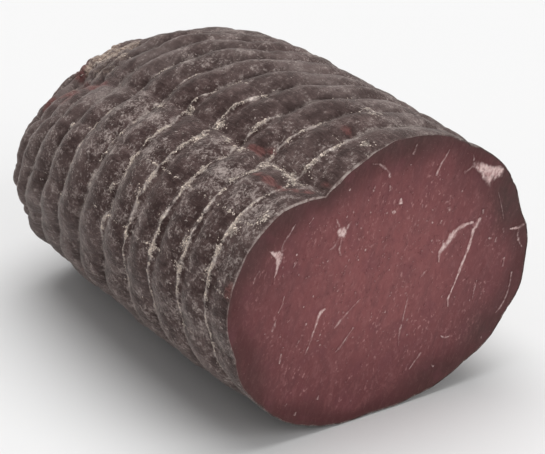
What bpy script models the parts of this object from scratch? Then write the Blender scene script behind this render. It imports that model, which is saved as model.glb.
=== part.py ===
# A half bresaola: a cured roll of beef lying on its side, the near end cut flat and the far end
# rounded off. A net drawn tight while it cured has left rings and lengthwise lines in the rind,
# and one deep fold runs along the upper left from the cut to the far shoulder.
# Metres. The cut looks along -Y, the roll lies along Y, and it rests on z = 0.
import bpy
import numpy as np

LENGTH = 0.186
HEIGHT = 0.106
RING_DEPTH = 0.0024
RING_DEEPER = 0.0008
LINE_DEPTH = 0.0010
FOLD_DEPTH = 0.0093
SWELL = 0.0005
RESTING_FLAT = 0.0009

# The cut is an oval, fuller or flatter in places: the angle from +X towards +Z in degrees, how
# far the skin stands out there in mm, and how wide the change is. The fold is taken off later.
HALF_WIDTH = 65.6
HALF_HEIGHT = 53.5
UNEVEN = (
    (-170, -1.4, 7), (-127, 1.9, 27), (-92, -1.5, 20), (-38, 0.8, 9),
    (-18, 1.4, 7), (12, -1.8, 7), (66, 0.8, 17),
)

# Sections of the roll: way over the skin from the cut, distance from the cut, width and height
# against the cut, and the middle of the section to the side and above the table, all in mm.
SECTIONS = (
    (0, 0, 1.000, 1.000, 0.0, 53.0),
    (37, 37, 1.010, 1.024, -1.8, 54.2),
    (74, 74, 1.004, 1.034, -2.5, 54.7),
    (110, 110, 0.992, 1.015, -2.0, 54.2),
    (144, 143.5, 0.958, 0.935, -0.8, 50.1),
    (169, 166, 0.890, 0.825, 0.5, 45.2),
    (192, 178.5, 0.600, 0.550, 1.8, 55.2),
    (210, 184.5, 0.300, 0.280, 1.0, 59.5),
    (226, 186, 0.001, 0.001, 0.5, 60.5),
)

# Rings of the net, by their way over the skin from the cut in mm, and its lengthwise lines by
# their angle in degrees. The rings lean: from an angle, how far they run ahead for their way.
RINGS = (16, 32, 48.5, 65.5, 82.5, 99.5, 117, 133, 148, 161, 174, 186, 197, 207)
LINES = (-168, -145, -121, -97, -73, -49, -25, -1, 23, 49, 75, 98, 122, 147, 170)
RING_LEAN = (
    (0, -0.12), (48, -0.24), (70, -0.22), (92, -0.10), (114, 0.0), (150, 0.0),
    (172, 0.035), (202, 0.175), (230, 0.20), (290, 0.02), (360, -0.12),
)

# The fold: the angle of its bottom, how far that has turned at the far shoulder, how far it
# opens to either side, and its depth along the roll against the depth at the cut.
FOLD_ANGLE = 122
FOLD_TURN = 7
FAR_SHOULDER = 180
FOLD_GENTLE = 38
FOLD_STEEP = 26
FOLD_ALONG = ((0, 1.0), (37, 0.9), (110, 0.86), (169, 0.95), (192, 0.75), (226, 0.0))

# Where the sections and columns of the skin stand between two rings and between two lines.
BETWEEN_RINGS = (0.0, 0.12, 0.34, 0.66, 0.88)
BETWEEN_LINES = (0.0, 0.16, 0.5, 0.84)

# The cut runs through the thick of a pillow, at this share of the way to the next ring.
AT_THE_CUT = 0.6


def smooth(points, at, column=1):
    """A soft curve through the given points, read at the given places."""
    table = np.array(points, float)
    x, y = table[:, 0], table[:, column]
    slope = np.gradient(y, x)
    i = np.clip(np.searchsorted(x, at, side="right") - 1, 0, len(x) - 2)
    step = x[i + 1] - x[i]
    t = np.clip((at - x[i]) / step, 0.0, 1.0)
    return (
        (1 + 2 * t) * (1 - t) ** 2 * y[i]
        + t * (1 - t) ** 2 * step * slope[i]
        + t * t * (3 - 2 * t) * y[i + 1]
        + t * t * (t - 1) * step * slope[i + 1]
    )


def outline(angle):
    """Distance in mm from the middle of the cut to its edge, before the fold is taken off."""
    across = np.cos(np.radians(angle)) / HALF_WIDTH
    up = np.sin(np.radians(angle)) / HALF_HEIGHT
    reach = 1 / np.hypot(across, up)
    for place, push, spread in UNEVEN:
        turn = (angle - place + 180) % 360 - 180
        reach = reach + push * np.exp(-((turn / spread) ** 2))
    return reach


def left_of_fold(angle):
    """One on the side of the roll left of the fold, nought on the right, easing underneath."""
    turn = (angle - FOLD_ANGLE) % 360
    rise = np.clip((turn + 1) / 9, 0, 1)
    fall = np.clip((turn - 80) / 100, 0, 1)
    return rise * rise * (3 - 2 * rise) * (1 - fall * fall * (3 - 2 * fall))


def ring_way(ring, angle):
    """Way over the skin to a ring, which leans, wanders and steps back across the fold."""
    way = np.interp(ring, np.arange(len(RINGS)), RINGS)
    step_back = (3.5 + 0.016 * way) * left_of_fold(angle)
    level_out = min(1.0, (SECTIONS[-1][0] - way) / 80)
    lean = smooth(RING_LEAN, angle % 360) * way * level_out
    wander = 0.5 * np.sin(np.radians(3 * angle) + 2.1 * np.round(ring))
    return way - step_back + lean + wander


def turned(way, angle):
    """Angles of the skin's columns, which turn with the fold near the far end."""
    turn = (angle - FOLD_ANGLE + 180) % 360 - 180
    return angle + FOLD_TURN * (way / FAR_SHOULDER) ** 2 * np.exp(-((turn / 50) ** 2))


def skin(way, angle):
    """The smooth roll with its fold, before the net has marked it."""
    turn = (angle - turned(way, FOLD_ANGLE) + 180) % 360 - 180
    far = (way / FAR_SHOULDER) ** 2
    gentle = np.clip(1 + turn / FOLD_GENTLE / (1 - 0.3 * far), 0, 1) ** 1.1
    steep = np.clip(1 - turn / FOLD_STEEP / (1 + 0.6 * far), 0, 1) ** 1.7
    fold = FOLD_DEPTH * 1000 * np.where(turn < 0, gentle, steep) * smooth(FOLD_ALONG, way)
    reach = outline(angle) - fold
    x = smooth(SECTIONS, way, 4) + smooth(SECTIONS, way, 2) * reach * np.cos(np.radians(angle))
    z = smooth(SECTIONS, way, 5) + smooth(SECTIONS, way, 3) * reach * np.sin(np.radians(angle))
    y = smooth(SECTIONS, way, 1)
    return np.stack([x, y, z], -1) / 1000


def pillow(share, rounder=0.0):
    """Height between two strings: nought at either string, one in the middle."""
    return np.abs(np.sin(np.pi * share)) ** (0.45 + rounder)


# The columns run through the lines of the net and the sections through its rings.
lines = np.array(LINES + (LINES[0] + 360,), float)
column_share = np.array([i + f for i in range(len(LINES)) for f in BETWEEN_LINES])
angles = np.interp(column_share, np.arange(len(lines)), lines)
ring_share = np.array([i + f for i in range(-1, len(RINGS)) for f in BETWEEN_RINGS])
ring_share = ring_share[(ring_share > -0.9) & (ring_share <= len(RINGS) - 1)]

way = np.zeros((len(ring_share) + 3, len(angles)))
share = np.zeros_like(way)
for row, ring in enumerate(ring_share, start=1):
    if ring < 0:
        first = ring_way(0.0, angles)
        way[row] = first * (1 + ring)
        share[row] = ring * AT_THE_CUT
    else:
        low = ring_way(np.floor(ring), angles)
        high = ring_way(min(np.floor(ring) + 1, len(RINGS) - 1), angles)
        way[row] = low + (high - low) * (ring - np.floor(ring))
        share[row] = ring
share[0] = -AT_THE_CUT
for row, part in ((-2, 0.3), (-1, 0.65)):
    way[row] = way[-3] + (SECTIONS[-1][0] - way[-3]) * part
    share[row] = len(RINGS) - 1 + part / 2

# The marks of the net are pressed into the skin along its own direction.
angle_grid = turned(way, np.broadcast_to(angles, way.shape))
around = skin(way, angle_grid + 0.5) - skin(way, angle_grid - 0.5)
along = skin(way + 0.5, angle_grid) - skin(np.maximum(way - 0.5, 0), angle_grid)
outwards = np.cross(along, around)
outwards /= np.linalg.norm(outwards, axis=-1, keepdims=True)
shallow = np.clip((SECTIONS[-1][0] - way) / 30, 0, 1)
far = way / SECTIONS[-1][0]
dent = (RING_DEPTH + RING_DEEPER * far) * (1 - pillow(share, 0.25 * far)) * shallow
dent = dent + LINE_DEPTH * (1 - pillow(column_share)) * (0.6 + 0.4 * pillow(share))
points = skin(way, angle_grid) + outwards * (SWELL - dent)[..., None]
points[0, :, 1] = 0.0
pole = skin(np.array([SECTIONS[-1][0]]), np.array([0.0]))[0] - [0, 0.003, 0]

# Stand the roll on its own pressed flat, with the middle of its box over the origin.
low = points.reshape(-1, 3).min(axis=0)
high = points.reshape(-1, 3).max(axis=0)
stand = [(low[0] + high[0]) / 2, (low[1] + high[1]) / 2, low[2] + RESTING_FLAT]
points -= stand
pole -= stand
points[..., 2] = np.maximum(points[..., 2], 0.0)

sections, columns = points.shape[:2]
vertices = points.reshape(-1, 3).tolist()
faces = []
for i in range(sections - 1):
    for j in range(columns):
        a = i * columns + j
        b = i * columns + (j + 1) % columns
        c = b + columns
        d = a + columns
        if (i + j) % 2:
            faces += [(a, c, b), (a, d, c)]
        else:
            faces += [(a, d, b), (b, d, c)]
far = len(vertices)
vertices.append(pole.tolist())
last = (sections - 1) * columns
for j in range(columns):
    faces.append((last + (j + 1) % columns, last + j, far))
cut = len(vertices)
vertices.append([0.0, float(points[0, 0, 1]), HEIGHT / 2])
for j in range(columns):
    faces.append((cut, j, (j + 1) % columns))

for item in list(bpy.data.objects):
    bpy.data.objects.remove(item, do_unlink=True)

mesh = bpy.data.meshes.new("bresaola")
mesh.from_pydata(vertices, [], faces)
mesh.validate()
mesh.update()
roll = bpy.data.objects.new("bresaola", mesh)
bpy.context.scene.collection.objects.link(roll)

rind = bpy.data.materials.new("cured_rind")
rind.use_nodes = True
surface = rind.node_tree.nodes["Principled BSDF"]
surface.inputs["Base Color"].default_value = (0.075, 0.055, 0.050, 1.0)
surface.inputs["Roughness"].default_value = 0.85
mesh.materials.append(rind)
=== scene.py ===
import bpy
import numpy as np
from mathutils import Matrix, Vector, noise


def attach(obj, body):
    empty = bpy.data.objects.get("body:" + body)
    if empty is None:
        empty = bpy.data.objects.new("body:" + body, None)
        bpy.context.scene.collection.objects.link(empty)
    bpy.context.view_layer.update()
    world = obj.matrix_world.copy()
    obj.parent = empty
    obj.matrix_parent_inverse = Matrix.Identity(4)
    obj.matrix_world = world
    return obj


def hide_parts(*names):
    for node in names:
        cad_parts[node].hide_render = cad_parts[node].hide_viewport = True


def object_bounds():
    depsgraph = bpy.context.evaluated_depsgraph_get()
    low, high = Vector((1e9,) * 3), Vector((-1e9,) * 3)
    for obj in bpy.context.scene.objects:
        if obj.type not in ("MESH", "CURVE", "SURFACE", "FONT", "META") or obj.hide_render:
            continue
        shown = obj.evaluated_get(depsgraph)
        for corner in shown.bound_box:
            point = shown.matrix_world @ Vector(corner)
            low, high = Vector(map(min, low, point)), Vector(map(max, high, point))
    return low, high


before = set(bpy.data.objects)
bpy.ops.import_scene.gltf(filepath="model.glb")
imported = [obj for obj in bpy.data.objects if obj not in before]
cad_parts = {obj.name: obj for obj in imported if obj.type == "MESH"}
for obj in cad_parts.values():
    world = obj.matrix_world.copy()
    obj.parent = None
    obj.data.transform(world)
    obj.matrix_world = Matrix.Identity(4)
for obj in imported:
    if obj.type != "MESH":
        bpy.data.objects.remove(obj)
cad_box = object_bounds()


# The rind: a half roll of beef cured in a tight net that has since been taken off. The net's rings
# and lengthwise strings are pressed into the dried skin, one deep fold runs along the upper left,
# and the far end is drawn together. Sizes are in millimetres until the mesh is made.
HALF_WIDTH = 65.6
HALF_HEIGHT = 53.5

# Where the cut stands out or is flatter: angle in degrees, push and spread. Then sections of the
# roll: way over the skin, distance from the cut, width and height, and the middle across and up.
UNEVEN = (
    (-170, -1.4, 7), (-127, 1.9, 27), (-92, -1.5, 20), (-38, 0.8, 9),
    (-18, 1.4, 7), (12, -1.8, 7), (66, 0.8, 17),
)
SECTIONS = (
    (0, 0, 1.000, 1.000, 0.0, 53.0),
    (37, 37, 1.010, 1.024, -1.8, 54.2),
    (74, 74, 1.004, 1.034, -2.5, 54.7),
    (110, 110, 0.992, 1.015, -2.0, 54.2),
    (144, 143.5, 0.958, 0.935, -0.8, 50.1),
    (169, 166, 0.890, 0.825, 0.5, 45.2),
    (192, 178.5, 0.600, 0.550, 1.8, 55.2),
    (210, 184.5, 0.300, 0.280, 1.0, 59.5),
    (226, 186, 0.001, 0.001, 0.5, 60.5),
)

# The net: the way to each ring, the angle of each line, and how far the rings lean by angle.
RINGS = (16, 32, 48.5, 65.5, 82.5, 99.5, 117, 133, 148, 161, 174, 186, 197, 207)
LINES = (-168, -145, -121, -97, -73, -49, -25, -1, 23, 49, 75, 98, 122, 147, 170)
RING_LEAN = (
    (0, -0.12), (48, -0.24), (70, -0.22), (92, -0.10), (114, 0.0), (150, 0.0),
    (172, 0.035), (202, 0.175), (230, 0.20), (290, 0.02), (360, -0.12),
)

# How deep the marks are, then the fold: the angle of its bottom, how far that has turned at the far
# shoulder, how far it opens to either side, and its depth along the roll against that at the cut.
RING_DEPTH = 2.9
RING_DEEPER = 0.8
LINE_DEPTH = 1.0
FOLD_DEPTH = 9.3
FOLD_ANGLE = 122
FOLD_TURN = 7
FAR_SHOULDER = 180
FOLD_GENTLE = 38
FOLD_STEEP = 26
FOLD_ALONG = ((0, 1.0), (37, 0.9), (110, 0.86), (169, 0.95), (192, 0.75), (226, 0.0))
AT_THE_CUT = 0.6
ROLL_END = SECTIONS[-1][0]
CUT_MIDDLE = SECTIONS[0][-1]
low, high = np.array(cad_box[0]) * 1000, np.array(cad_box[1]) * 1000


def through(points, at, column=1):
    """A soft curve through the given points, read at the given places."""
    table = np.array(points, float)
    x, y = table[:, 0], table[:, column]
    slope = np.gradient(y, x)
    i = np.clip(np.searchsorted(x, at, side="right") - 1, 0, len(x) - 2)
    step = x[i + 1] - x[i]
    t = np.clip((at - x[i]) / step, 0.0, 1.0)
    return (
        (1 + 2 * t) * (1 - t) ** 2 * y[i]
        + t * (1 - t) ** 2 * step * slope[i]
        + t * t * (3 - 2 * t) * y[i + 1]
        + t * t * (t - 1) * step * slope[i + 1]
    )


def turn_from(angle, place):
    """Degrees from one angle round the roll to another, between -180 and 180."""
    return (angle - place + 180) % 360 - 180


def bell(off):
    """One at nought, falling softly to nothing by about two to either side."""
    return np.exp(-(off ** 2))


def cut_outline(angle):
    """Distance from the middle of the cut to its edge, before the fold is taken off."""
    reach = 1 / np.hypot(np.cos(np.radians(angle)) / HALF_WIDTH, np.sin(np.radians(angle)) / HALF_HEIGHT)
    for place, push, spread in UNEVEN:
        reach = reach + push * bell(turn_from(angle, place) / spread)
    return reach


def ring_way(ring, angle):
    """Way over the skin to a ring of the net, which leans and steps back across the fold."""
    way = RINGS[ring]
    turn = (angle - FOLD_ANGLE) % 360
    rise = np.clip((turn + 1) / 9, 0, 1)
    fall = np.clip((turn - 80) / 100, 0, 1)
    left = rise * rise * (3 - 2 * rise) * (1 - fall * fall * (3 - 2 * fall))
    lean = through(RING_LEAN, angle % 360) * way * min(1.0, (ROLL_END - way) / 80)
    wander = 0.5 * np.sin(np.radians(3 * angle) + 2.1 * ring)
    return way - (3.5 + 0.016 * way) * left + lean + wander


def turned(way, angle):
    """Angles of the skin's columns, which turn with the fold near the far end."""
    turn = turn_from(angle, FOLD_ANGLE)
    return angle + FOLD_TURN * (way / FAR_SHOULDER) ** 2 * bell(turn / 50)


def bare_skin(way, angle):
    """The smooth roll with its fold, before the net has marked it."""
    turn = turn_from(angle, turned(way, FOLD_ANGLE))
    far = (way / FAR_SHOULDER) ** 2
    gentle = np.clip(1 + turn / FOLD_GENTLE / (1 - 0.3 * far), 0, 1) ** 1.1
    steep = np.clip(1 - turn / FOLD_STEEP / (1 + 0.6 * far), 0, 1) ** 1.7
    fold = FOLD_DEPTH * np.where(turn < 0, gentle, steep) * through(FOLD_ALONG, way)
    reach = cut_outline(angle) - fold
    x = through(SECTIONS, way, 4) + through(SECTIONS, way, 2) * reach * np.cos(np.radians(angle))
    z = through(SECTIONS, way, 5) + through(SECTIONS, way, 3) * reach * np.sin(np.radians(angle))
    return np.stack([x, through(SECTIONS, way, 1), z], -1)


def pillow(share, rounder=0.0):
    """Height between two strings: nought at either string, one in the middle."""
    return np.abs(np.sin(np.pi * share)) ** (0.6 + rounder)


def lumps(places, stretch, seed):
    """Uneven swelling, from -1 to 1, with lumps of the given sizes across, along and up."""
    spot = Vector((seed * 37.1, seed * 11.3, seed * 5.7))
    rows = (places / np.array(stretch)).reshape(-1, 3).tolist()
    return np.array([noise.noise(Vector(p) + spot) for p in rows]).reshape(places.shape[:-1])


# Rows of the mesh follow the rings and columns follow the strings, closer together in the creases.
ROWS_TO_RING = 13
PER_RING = 20
PER_LINE = 22
ROWS_TO_TIP = 22
TIP_GAP = 0.4
TIP_SUNK = 0.8
MM_PER_DEGREE = 1.03
strings = np.array(LINES + (LINES[0] + 360,), float)
ring_steps = np.arange(PER_RING) / PER_RING
ring_steps -= 0.10 * np.sin(2 * np.pi * ring_steps)
line_steps = np.arange(PER_LINE) / PER_LINE
line_steps -= 0.08 * np.sin(2 * np.pi * line_steps)
line_share = (np.arange(len(LINES))[:, None] + line_steps).ravel()
column = np.interp(line_share, np.arange(len(strings)), strings)
ring_lines = np.array([ring_way(k, column) for k in range(len(RINGS))])
ways, shares, gaps = [], [], []
for step in 1 - np.cos(np.linspace(0, np.pi / 2, ROWS_TO_RING + 1)[:-1]):
    ways.append(ring_lines[0] * step)
    shares.append(-AT_THE_CUT * (1 - step))
    gaps.append(ring_lines[0] * (1 - step))
for k in range(len(RINGS) - 1):
    room = ring_lines[k + 1] - ring_lines[k]
    for step in ring_steps:
        ways.append(ring_lines[k] + room * step)
        shares.append(k + step)
        gaps.append(room * min(step, 1 - step))
for step in np.linspace(0, 1, ROWS_TO_TIP):
    ways.append(ring_lines[-1] + (ROLL_END - TIP_GAP - ring_lines[-1]) * step)
    shares.append(len(RINGS) - 1 + step / 2)
    gaps.append(ways[-1] - ring_lines[-1])
way, ring_gap = np.array(ways), np.array(gaps)
ring_share = np.array(shares)[:, None] + 0 * way
line_near = np.round(line_share).astype(int)
line_gap = np.abs(column - strings[line_near])[None, :] * MM_PER_DEGREE
line_gap = line_gap * np.clip((ROLL_END - way) / 60, 0.1, 1)
line_near %= len(LINES)
angle = turned(way, column[None, :] + 0 * way)
skin = bare_skin(way, angle)


def face_out(points):
    """Which way the skin faces at each point of its mesh."""
    along = np.gradient(points, axis=0)
    around = np.roll(points, -1, axis=1) - np.roll(points, 1, axis=1)
    out = np.cross(along, around)
    return out / (np.linalg.norm(out, axis=-1, keepdims=True) + 1e-9)


def zone(places, at_way, at_angle):
    """Where something lies on the rind: way along, angle round, reach along and round, strength."""
    found = np.zeros(at_way.shape)
    for spot_way, spot_angle, reach_way, reach_angle, strength in places:
        off = ((at_way - spot_way) / reach_way) ** 2 + (turn_from(at_angle, spot_angle) / reach_angle) ** 2
        found = np.maximum(found, strength * np.exp(-off))
    return found


# What lies on the rind, and where: way from the cut, angle round the roll, reach along, reach
# round, and strength. A clump of crumbs has one reach and full strength, the knob its height.
BLOOM = (
    (34, 138, 12, 9, 1.0), (5, 143, 9, 10, 0.9), (20, 141, 9, 8, 0.8), (52, 134, 10, 7, 0.75),
    (71, 145, 9, 8, 0.8), (88, 134, 9, 6, 1.0), (104, 136, 13, 9, 0.85), (127, 135, 10, 8, 0.9),
    (100, 150, 16, 14, 0.6), (5, 160, 9, 12, 0.6), (30, 160, 30, 14, 0.4), (70, 165, 40, 14, 0.4),
    (107, 103, 10, 6, 0.9), (50, 111, 5, 6, 0.5), (18, 106, 5, 7, 0.4), (33, 113, 5, 6, 0.4),
    (95, 97, 16, 6, 0.6), (27, 76, 7, 5, 0.9), (12, 74, 9, 6, 0.7), (60, 200, 60, 16, 0.45),
    (20, 187, 28, 10, 0.65), (120, 165, 22, 16, 0.42), (145, 155, 22, 20, 0.35), (85, 85, 24, 10, 0.5),
    (60, 60, 60, 16, 0.45), (120, 60, 40, 30, 0.5), (60, 0, 50, 34, 0.45), (150, -30, 50, 60, 0.5),
    (40, -90, 50, 40, 0.45), (120, -120, 50, 40, 0.45), (190, 150, 30, 60, 0.5),
)
CREAM = (
    (11, 162, 7, 40, 1.0), (28, 162, 6, 36, 1.0), (46, 168, 7, 38, 1.0), (63, 162, 7, 38, 1.0),
    (65, 108, 5, 15, 0.95), (48, 112, 5, 9, 1.0), (31, 110, 5, 14, 0.85), (16, 108, 5, 14, 0.8),
    (82, 119, 5, 9, 1.0), (83, 174, 5, 5, 1.0), (78, 142, 6, 18, 0.55), (95, 152, 8, 24, 0.42),
    (98, 112, 6, 11, 0.55), (111, 152, 8, 26, 0.38), (117, 112, 6, 13, 0.45), (18, 124, 10, 3, 1.0),
    (28, 125, 6, 4, 1.0), (48, 126, 7, 3, 0.9), (60, 127, 6, 4, 1.0), (75, 128, 18, 3, 0.9),
    (97, 128, 14, 3, 0.6), (10, 147, 13, 3, 0.75), (53, 149, 11, 3, 1.0), (95, 151, 12, 3, 0.5),
    (6, 168, 12, 3, 0.85), (53, 172, 10, 3, 0.8), (80, 172, 16, 3, 0.7), (7, 96, 10, 3, 0.85),
    (25, 77, 10, 4, 0.8), (68, 100, 12, 3, 0.5), (30, -20, 30, 40, 0.5), (90, -60, 40, 40, 0.5),
    (100, 30, 30, 20, 0.4), (150, 180, 20, 40, 0.3), (150, 60, 30, 30, 0.4), (172, 113, 6, 4, 0.8),
    (150, 112, 5, 4, 0.8), (184, 127, 5, 4, 0.8),
)
# Painted sheen over a thin haze of mould: where the top and the far end are lightened, with the same
# columns.
HAZE_AND_SHEEN = (
    (128, 105, 26, 12, 1.0), (100, 86, 24, 12, 0.8), (62, 74, 34, 12, 1.0), (20, 68, 24, 12, 0.9),
    (160, 92, 26, 20, 0.9), (132, 134, 12, 8, 1.3), (120, 40, 60, 24, 0.7), (174, 136, 14, 9, 1.6),
    (165, 160, 34, 26, 0.75), (150, 195, 40, 24, 0.7), (130, 70, 40, 24, 0.8), (60, 92, 34, 12, 0.4),
)
CLUMPS = (
    (30, 171, 3.0), (30, 163, 2.5), (14, 167, 3.2), (14, 159, 2.2), (12, 152, 3.0), (3, 143, 2.6),
    (14, 124, 3.2), (19, 122.5, 3.4), (24, 123.5, 2.6), (29, 125, 2.6), (28, 130, 2.2), (29, 137, 2.2),
    (44, 125, 2.6), (44, 140, 2.4), (52, 125, 2.0), (48, 112, 2.8), (46, 161, 2.2), (48, 172, 2.0),
    (61, 130, 3.6), (62, 136, 3.0), (64, 121, 3.6), (65, 111, 2.4), (62, 151, 2.2), (64, 158, 2.0),
    (64, 171, 3.0), (78, 135, 2.6), (78, 142, 2.0), (78, 151, 2.2), (81, 162, 2.0), (82, 122, 2.4),
    (94, 128, 2.8), (112, 138, 2.4), (127, 151, 2.0), (16, 116, 2.4), (6, 94, 2.4), (26, 77, 2.0),
    (20, 79, 1.8), (172, 113, 2.8), (150, 112, 2.4),
)
BARE_RED = (
    (42, 122, 3, 2.2, 1.0), (38, 121, 3.2, 2.4, 1.0), (34, 118.5, 3, 2.4, 0.9), (24, 131, 3.5, 2, 0.8),
    (18, 131, 4, 2.2, 1.0), (12.5, 130, 3.5, 2, 0.9), (8, 128, 3.5, 2, 0.8), (4, 125.5, 3, 2.2, 0.75),
    (3, 118, 4, 2.6, 0.6), (18, 93, 4, 2.2, 0.75), (1, 168, 3, 4, 0.8), (86, 204, 8, 2, 0.6),
    (113, 208, 10, 3, 0.6), (146, 130, 9, 4, 1.25), (151, 140, 5, 9, 0.85), (184, 127, 8, 7, 1.3),
    (168, 127, 14, 4, 0.6), (158, 134, 7, 4, 1.1), (165, 139, 6, 4, 1.0), (171, 145, 6, 5, 0.85),
    (177, 152, 5, 5, 0.7), (55, 148, 6, 5, 0.25), (110, 114, 7, 5, 0.35), (57, 97, 6, 2, 0.4),
    (90, 95, 6, 3, 0.3),
)
TAN = (
    (188, 114, 9, 6, 0.95), (179, 110, 9, 7, 0.9), (166, 107, 9, 6, 0.8), (151, 111, 6, 4, 0.65),
    (178, 121, 6, 4, 0.8), (172, 89, 7, 5, 0.6), (158, 119, 14, 5, 0.45), (160, 134, 12, 4, 0.5),
    (170, 98, 10, 6, 0.85), (158, 100, 8, 5, 0.6), (185, 104, 8, 8, 0.8),
)
KNOB = ((186, 127, 8, 11, 2.4),)
TANGLE_FROM = 128
TANGLE_WIDTH = 19
BASE_SWELL = 0.25

# The relief: rings and lines pressed in, uneven pillows between them, wrinkles, a tangle of folds
# at the far shoulder, and crusts piled up in the rings.
rng = np.random.default_rng(11)
cell_swell = rng.uniform(-0.4, 0.4, (len(RINGS) + 1, len(LINES)))
cell_line = rng.uniform(0.15, 1.3, (len(RINGS) + 1, len(LINES)))
cell_row = np.clip(np.floor(ring_share).astype(int) + 1, 0, len(RINGS))
cell_column = np.broadcast_to(np.floor(line_share).astype(int)[None, :], way.shape)
nearest_line = np.broadcast_to(line_near[None, :], way.shape)
far_share = np.clip(way / ROLL_END, 0, 1)
between_rings = pillow(ring_share, 0.25 * far_share)
between_lines = pillow(line_share)[None, :] + 0 * way
big_lumps = lumps(skin, (14, 14, 14), 1)
small_lumps = lumps(skin, (4.2, 5, 4.2), 2)
wrinkles = lumps(skin, (1.9, 11, 1.9), 3) * (0.6 + 0.6 * lumps(skin, (12, 12, 12), 4))

shallow = np.clip((ROLL_END - way) / 30, 0, 1)
tangle_middle = FOLD_ANGLE - 1 - 9 * np.clip((way - 140) / 30, 0, 1)
tangle = bell(turn_from(angle, tangle_middle) / TANGLE_WIDTH) * np.clip((way - TANGLE_FROM) / 14, 0, 1)
ring_depth = (RING_DEPTH + RING_DEEPER * far_share) * (1 + 0.35 * big_lumps) * (1 - 0.75 * tangle)
crusted = zone(CREAM, way, angle)
dent = ring_depth * (1 - np.maximum(between_rings, 0.62 * crusted)) * shallow
line_strength = cell_line[cell_row, nearest_line] * (0.7 + 1.1 * far_share)
dent += LINE_DEPTH * line_strength * (1 - between_lines) * (0.4 + 0.6 * between_rings)
dent -= cell_swell[cell_row, cell_column] * between_rings * between_lines * (0.6 + 0.8 * far_share)
swell = BASE_SWELL - dent + 0.4 * big_lumps + 0.22 * small_lumps * between_rings
swell += wrinkles * (0.28 + 0.3 * far_share)
swell += tangle * (lumps(skin, (2.8, 15, 2.8), 5) + 0.5 * lumps(skin, (1.8, 8, 1.8), 6))
crumbly = lumps(skin, (1.9, 1.9, 1.9), 7)
clumped = zone([(w, a, r, r, 1.0) for w, a, r in CLUMPS], way, angle)
ridge = bell(ring_gap / 1.2) * (0.3 + crumbly) + 0.65 * bell(ring_gap / 1.8)
swell += np.clip(crusted * ridge + clumped * (0.25 + 0.6 * crumbly), 0, 1.2) * shallow
swell += zone(KNOB, way, angle)
skin = skin + face_out(skin) * swell[..., None]
skin[0, :, 1] = 0.0

# Set into the box of the solid, resting on the same flat and just clear of its sides.
CUT_FRONT = 0.12
RESTING_FLAT = 0.9
CLEARANCE = 0.02
OFF_TABLE = 0.03
reach_low, reach_high = skin.reshape(-1, 3).min(axis=0), skin.reshape(-1, 3).max(axis=0)
skin[..., 0] += (low[0] + high[0]) / 2 - (reach_low[0] + reach_high[0]) / 2
skin[..., 1] += low[1] + CUT_FRONT
skin[..., 2] -= reach_low[2] + RESTING_FLAT
skin = np.clip(skin, low + CLEARANCE, high - CLEARANCE)
skin[..., 2] = np.maximum(skin[..., 2], OFF_TABLE)

# The rind's own thickness shows round the cut as a thin lip, widest on the upper left.
LIP_FRONT = 0.03
FACE_BACK = 0.26
LIP_THIN = 0.30
LIP_WIDER = 0.85
LIP_ANGLE = 128
middle = np.array([0.0, skin[0, 0, 1], CUT_MIDDLE])
inwards = middle - skin[0]
inwards /= np.linalg.norm(inwards, axis=-1, keepdims=True)
circle = np.radians(column)
lip_wave = np.array([noise.noise(Vector((np.cos(a) * 7, np.sin(a) * 7, 4.0))) for a in circle])
upper_left = bell(turn_from(column, LIP_ANGLE) / 40)
lip_width = (LIP_THIN + upper_left * (LIP_WIDER + 0.9 * lip_wave))[:, None]
lip_front = skin[0] + inwards * lip_width * 0.3
lip_front[:, 1] = low[1] + LIP_FRONT
lip_inner = skin[0] + inwards * lip_width
lip_inner[:, 1] = low[1] + CUT_FRONT
cut_edge = skin[0] + inwards * (lip_width + 0.1)
cut_edge[:, 1] = low[1] + FACE_BACK

rows = np.concatenate([cut_edge[None], lip_inner[None], lip_front[None], skin])
row_of_skin = np.maximum(np.arange(len(rows)) - 3, 0)
lip_of = np.zeros(rows.shape[:2])
lip_of[:3] = 1.0
lip_of[3] = 0.5


def make_piece(name, points, faces):
    """Makes one smooth piece from its points in millimetres and its faces."""
    mesh = bpy.data.meshes.new(name)
    mesh.from_pydata((points / 1000).tolist(), [], faces)
    mesh.polygons.foreach_set("use_smooth", np.ones(len(mesh.polygons), bool))
    piece = bpy.data.objects.new(name, mesh)
    bpy.context.scene.collection.objects.link(piece)
    return piece


count_rows, count_columns = rows.shape[:2]
index = np.arange(count_rows * count_columns).reshape(count_rows, count_columns)
next_index = np.roll(index, -1, axis=1)
quads = np.stack([index[:-1], index[1:], next_index[1:], next_index[:-1]], -1).reshape(-1, 4)
tip = rows[-1].mean(axis=0) - [0, TIP_SUNK, 0]
rind_points = np.concatenate([rows.reshape(-1, 3), tip[None]])
fans = np.stack([index[-1], np.full(count_columns, len(rind_points) - 1), next_index[-1]], -1)
rind = make_piece("rind", rind_points, quads.tolist() + fans.tolist())

# What the finish needs to know of each point: how far the net's marks are, and what lies there.
MARKS = {
    "ring_gap": ring_gap,
    "line_gap": line_gap,
    "bloom": zone(BLOOM, way, angle),
    "cream": crusted,
    "clump": clumped,
    "red": zone(BARE_RED, way, angle),
    "tan": zone(TAN, way, angle),
    # Painted sheen: where the top and the far end are lightened over a thin haze of mould.
    "haze_and_sheen": zone(HAZE_AND_SHEEN, way, angle),
    # Painted shade: how much the colour is darkened in the creases between the net's marks.
    "painted_crease_shade": 1 - between_rings * (0.75 + 0.25 * between_lines),
}


def carry(mesh, name, values):
    """Writes a mark onto a mesh, one value at each point."""
    mesh.attributes.new(name, "FLOAT", "POINT").data.foreach_set("value", values.astype(np.float32))


for name, values in MARKS.items():
    carry(rind.data, name, np.append(values[row_of_skin].ravel(), values[-1].mean()))
carry(rind.data, "lip", np.append((lip_of * (0.12 + 0.88 * upper_left)).ravel(), 0))

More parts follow.
